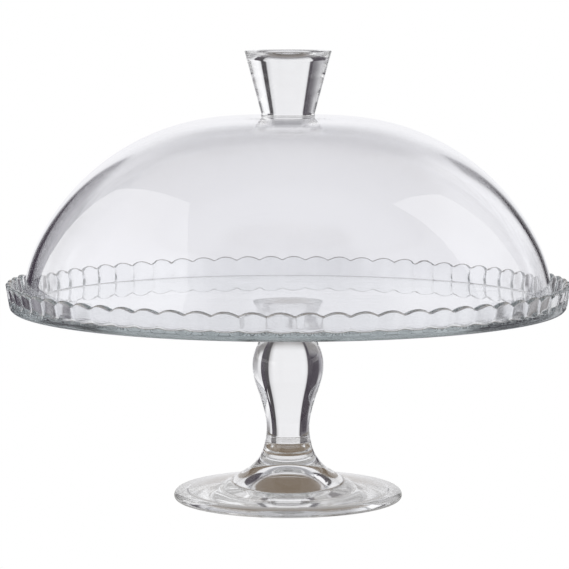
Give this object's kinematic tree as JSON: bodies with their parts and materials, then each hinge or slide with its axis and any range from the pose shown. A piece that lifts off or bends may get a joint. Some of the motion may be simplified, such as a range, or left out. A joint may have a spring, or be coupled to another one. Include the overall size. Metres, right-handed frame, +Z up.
{
  "type": "cake stand dome",
  "caption": "Footed clear glass cake stand: scalloped plate on a solid baluster stem and round foot, with a lift-off glass dome and tapered knob.",
  "frame": {"origin": "centre of the foot's rest ring, on the surface the stand stands on", "axes": "+Z up along the common axis of foot, stem, plate, dome and knob; -Y is the front, where a scallop's tip points"},
  "size_m": [0.322, 0.322, 0.257],
  "materials": {
    "dome_glass": "thin clear pressed glass, polished, faint cool grey",
    "plate_glass": "clear pressed glass, fire-polished, faint blue-green in its depth",
    "solid_glass": "thick clear glass, polished, faint warm grey in its depth",
    "clear_bond": "clear cured adhesive film"
  },
  "bodies": {
    "stand": {"foot": "solid_glass", "foot_bond": "clear_bond", "stem": "solid_glass", "stem_bond": "clear_bond", "serving_plate": "plate_glass"},
    "dome": {"dome_shell": "dome_glass", "knob_bond": "clear_bond", "dome_knob": "solid_glass"}
  },
  "joints": [
    {"name": "dome_lift", "type": "slide", "parent": "stand", "child": "dome", "axis": [0, 0, 1], "range_m": [0, 0.12]}
  ]
}
